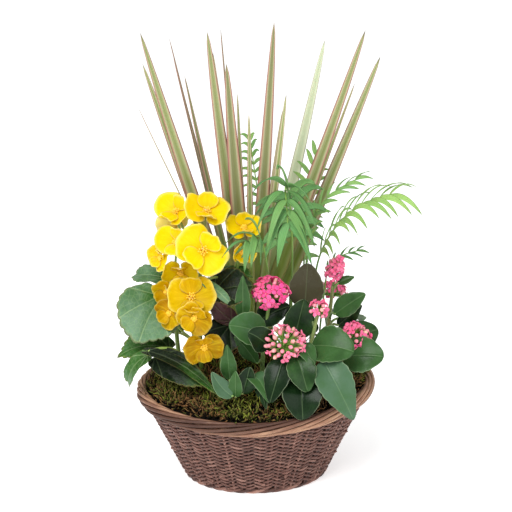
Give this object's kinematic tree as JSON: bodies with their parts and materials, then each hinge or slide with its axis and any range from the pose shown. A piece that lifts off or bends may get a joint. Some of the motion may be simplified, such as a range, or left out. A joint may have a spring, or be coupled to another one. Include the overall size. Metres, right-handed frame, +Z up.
{
  "type": "planted flower basket",
  "caption": "Oval willow basket planted with a narrow-leaved dracaena, a parlour palm, a yellow begonia and pink kalanchoes over moss",
  "frame": {"origin": "the middle of the basket's flat underside", "axes": "+Z up, -Y the front that the picture shows, +X to its right"},
  "size_m": [0.3536, 0.2946, 0.5491],
  "materials": {
    "willow": "matte",
    "willow_border": "satin",
    "begonia_petals": "matte",
    "begonia_leaves": "satin",
    "kalanchoe_flowers": "matte",
    "kalanchoe_leaves": "satin",
    "palm_leaves": "satin",
    "dracaena_blades": "satin",
    "dracaena_cane": "matte",
    "moss": "matte",
    "soil": "matte",
    "liner": "satin"
  },
  "bodies": {
    "root": {"basket_border": "willow_border", "basket_wall": "willow", "basket_base": "willow", "begonia_bloom_01": "begonia_petals", "begonia_bloom_02": "begonia_petals", "begonia_bloom_03": "begonia_petals", "begonia_bloom_04": "begonia_petals", "begonia_bloom_05": "begonia_petals", "begonia_bloom_06": "begonia_petals", "begonia_bloom_07": "begonia_petals", "begonia_bloom_08": "begonia_petals", "begonia_bloom_09": "begonia_petals", "begonia_bloom_10": "begonia_petals", "begonia_bloom_11": "begonia_petals", "begonia_bloom_12": "begonia_petals", "begonia_bloom_13": "begonia_petals", "begonia_bloom_14": "begonia_petals", "begonia_bloom_15": "begonia_petals", "kalanchoe_head_1": "kalanchoe_flowers", "kalanchoe_head_2": "kalanchoe_flowers", "kalanchoe_head_3": "kalanchoe_flowers", "kalanchoe_head_4": "kalanchoe_flowers", "kalanchoe_head_5": "kalanchoe_flowers", "kalanchoe_head_6": "kalanchoe_flowers", "begonia_shoot_crown": "begonia_leaves", "begonia_shoot_left": "begonia_leaves", "begonia_shoot_front": "begonia_leaves", "begonia_shoot_right": "begonia_leaves", "begonia_shoot_back": "begonia_leaves", "kalanchoe_shoot_middle": "kalanchoe_leaves", "kalanchoe_shoot_front": "kalanchoe_leaves", "kalanchoe_shoot_low": "kalanchoe_leaves", "kalanchoe_shoot_right": "kalanchoe_leaves", "kalanchoe_shoot_tall": "kalanchoe_leaves", "kalanchoe_shoot_end": "kalanchoe_leaves", "kalanchoe_shoot_back": "kalanchoe_leaves", "palm_frond_front": "palm_leaves", "palm_frond_right": "palm_leaves", "palm_frond_upper": "palm_leaves", "palm_frond_small": "palm_leaves", "palm_frond_left": "palm_leaves", "palm_frond_tall": "palm_leaves", "palm_frond_rear": "palm_leaves", "palm_frond_back": "palm_leaves", "dracaena_rosette": "dracaena_blades", "dracaena_cane": "dracaena_cane", "moss": "moss", "soil": "soil", "liner": "liner"}
  },
  "joints": []
}
